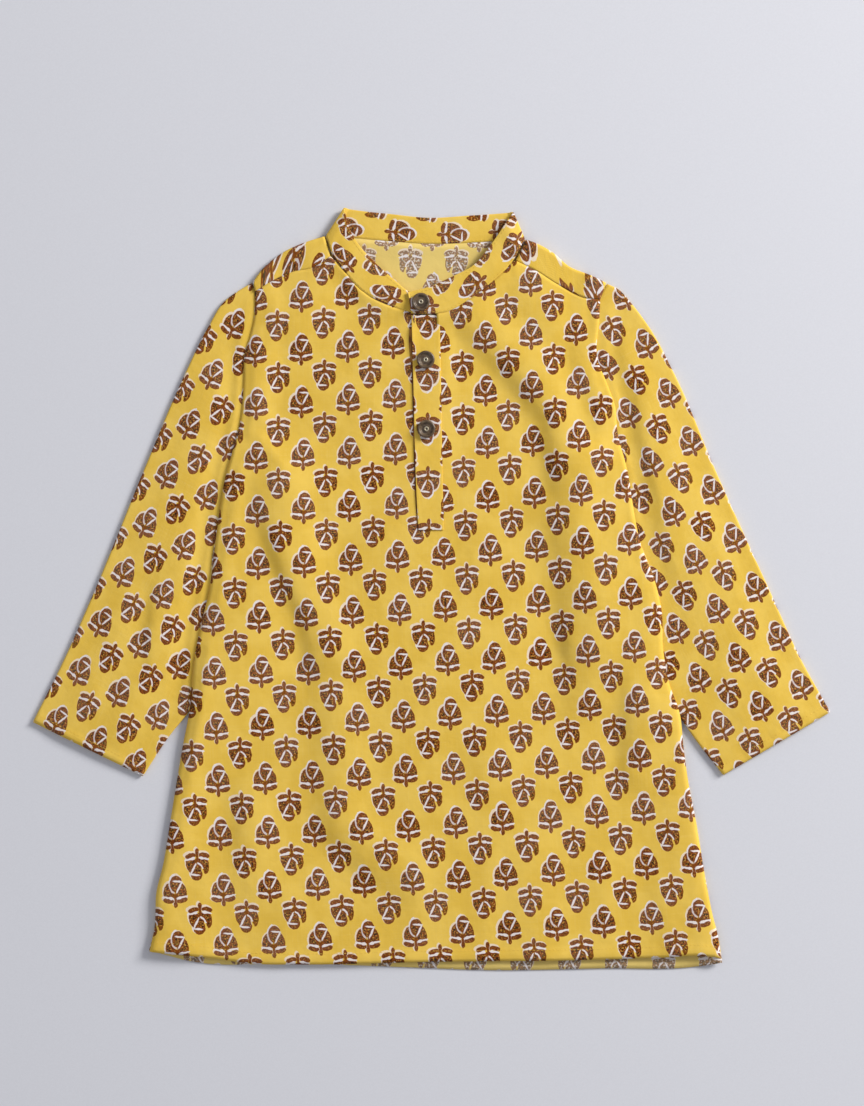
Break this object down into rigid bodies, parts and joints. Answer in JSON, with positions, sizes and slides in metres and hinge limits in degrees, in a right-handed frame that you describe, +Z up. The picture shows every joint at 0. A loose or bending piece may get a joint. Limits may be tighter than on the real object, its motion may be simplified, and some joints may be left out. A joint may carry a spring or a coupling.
{
  "type": "kurta tunic",
  "caption": "Child's long-sleeved kurta tunic in printed cotton, laid flat, with a band collar, a half placket with round buttons and an A-line body.",
  "frame": {"origin": "on the surface that the garment lies on, under the middle of its outline", "axes": "+X to the right as the garment lies face up, +Y towards the collar, +Z up from the surface"},
  "size_m": [0.5578, 0.5337, 0.0088],
  "materials": {
    "printed_cotton": "thin plain-weave cotton, mustard yellow with a brown block print",
    "dark_horn": "dark brown turned button, satin"
  },
  "bodies": {
    "root": {"front_panel": "printed_cotton", "back_panel": "printed_cotton", "sleeve_left": "printed_cotton", "sleeve_right": "printed_cotton", "collar_band": "printed_cotton", "placket_over": "printed_cotton", "placket_under": "printed_cotton", "button_1": "dark_horn", "button_2": "dark_horn", "button_3": "dark_horn"}
  },
  "joints": []
}
